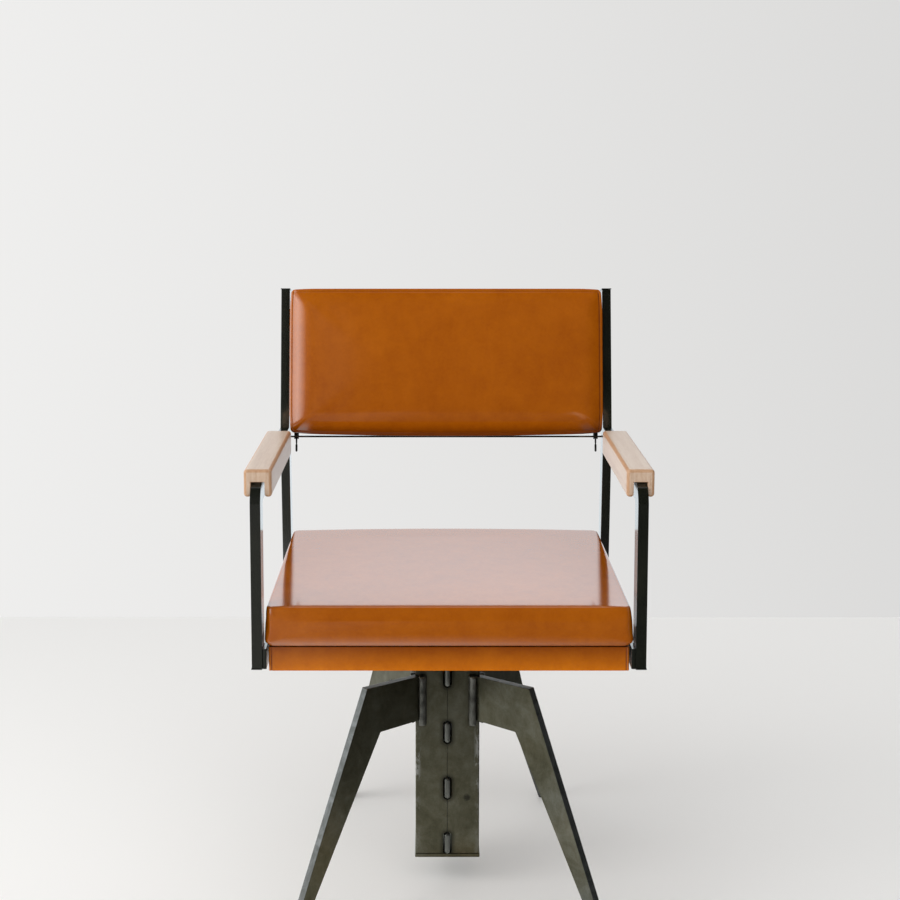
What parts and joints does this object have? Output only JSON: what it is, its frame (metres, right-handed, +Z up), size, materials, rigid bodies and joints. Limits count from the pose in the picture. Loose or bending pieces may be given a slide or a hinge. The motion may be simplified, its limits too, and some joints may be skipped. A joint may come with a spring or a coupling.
{
  "type": "salon swivel chair",
  "caption": "Salon swivel armchair: leather box seat and back between bent tube side frames, grooved wood armrests, square steel column on tapered plate legs.",
  "frame": {"origin": "on the floor, in the middle of the rectangle that the four feet and the armrests cover; the swivel axis is vertical and crosses the floor 21.5 mm towards the front of it", "axes": "+Z up, +X to the right seen from the front, the front of the chair faces -Y"},
  "size_m": [0.585, 0.4976, 0.9219],
  "materials": {
    "base_steel": "hot-rolled plate with brown and green mill scale, waxed",
    "worn_steel": "bare weld and plate edges, darkened",
    "frame_steel": "blackened tube, waxed satin",
    "bright_steel": "zinc-plated fasteners and ground spindle",
    "bronze": "sintered bearing bronze",
    "leather": "tan aniline leather, waxed gloss, fine grain",
    "beech": "oiled straight-grained beech",
    "plywood": "birch plywood, raw",
    "rubber": "matt black"
  },
  "bodies": {
    "base": {"column_left": "base_steel", "column_right": "base_steel", "column_web": "worn_steel", "column_top_plate": "base_steel", "column_base_cap": "base_steel", "leg_front_left": "base_steel", "leg_front_right": "base_steel", "leg_rear_left": "base_steel", "leg_rear_right": "base_steel", "leg_welds": "worn_steel", "foot_pads": "rubber", "spindle_housing": "base_steel", "bush_upper": "bronze", "bush_lower": "bronze", "thrust_washer": "bright_steel"},
    "seat": {"spindle": "bright_steel", "spindle_washer": "bright_steel", "spindle_nut": "bright_steel", "seat_plate": "frame_steel", "seat_plate_bolts": "bright_steel", "seat_plate_nuts": "bright_steel", "cross_tube_front": "frame_steel", "cross_tube_rear": "frame_steel", "side_rail_left": "frame_steel", "side_rail_right": "frame_steel", "arm_frame_left": "frame_steel", "arm_frame_right": "frame_steel", "rear_post_left": "frame_steel", "rear_post_right": "frame_steel", "post_top_caps": "frame_steel", "post_bottom_caps": "frame_steel", "armrest_left": "beech", "armrest_right": "beech", "armrest_screws": "bright_steel", "seat_skirt": "leather", "seat_board": "plywood", "seat_board_screws": "bright_steel", "seat_cushion": "leather", "back_rail_lower": "frame_steel", "back_rail_upper": "frame_steel", "back_board": "plywood", "back_rear_panel": "leather", "back_studs": "bright_steel", "back_stud_nuts": "bright_steel", "back_screws": "bright_steel", "back_cushion": "leather"}
  },
  "joints": [
    {"name": "swivel", "type": "hinge", "parent": "base", "child": "seat", "pos_m": [0, -0.02155, 0.38], "axis": [0, 0, 1], "continuous": true}
  ]
}
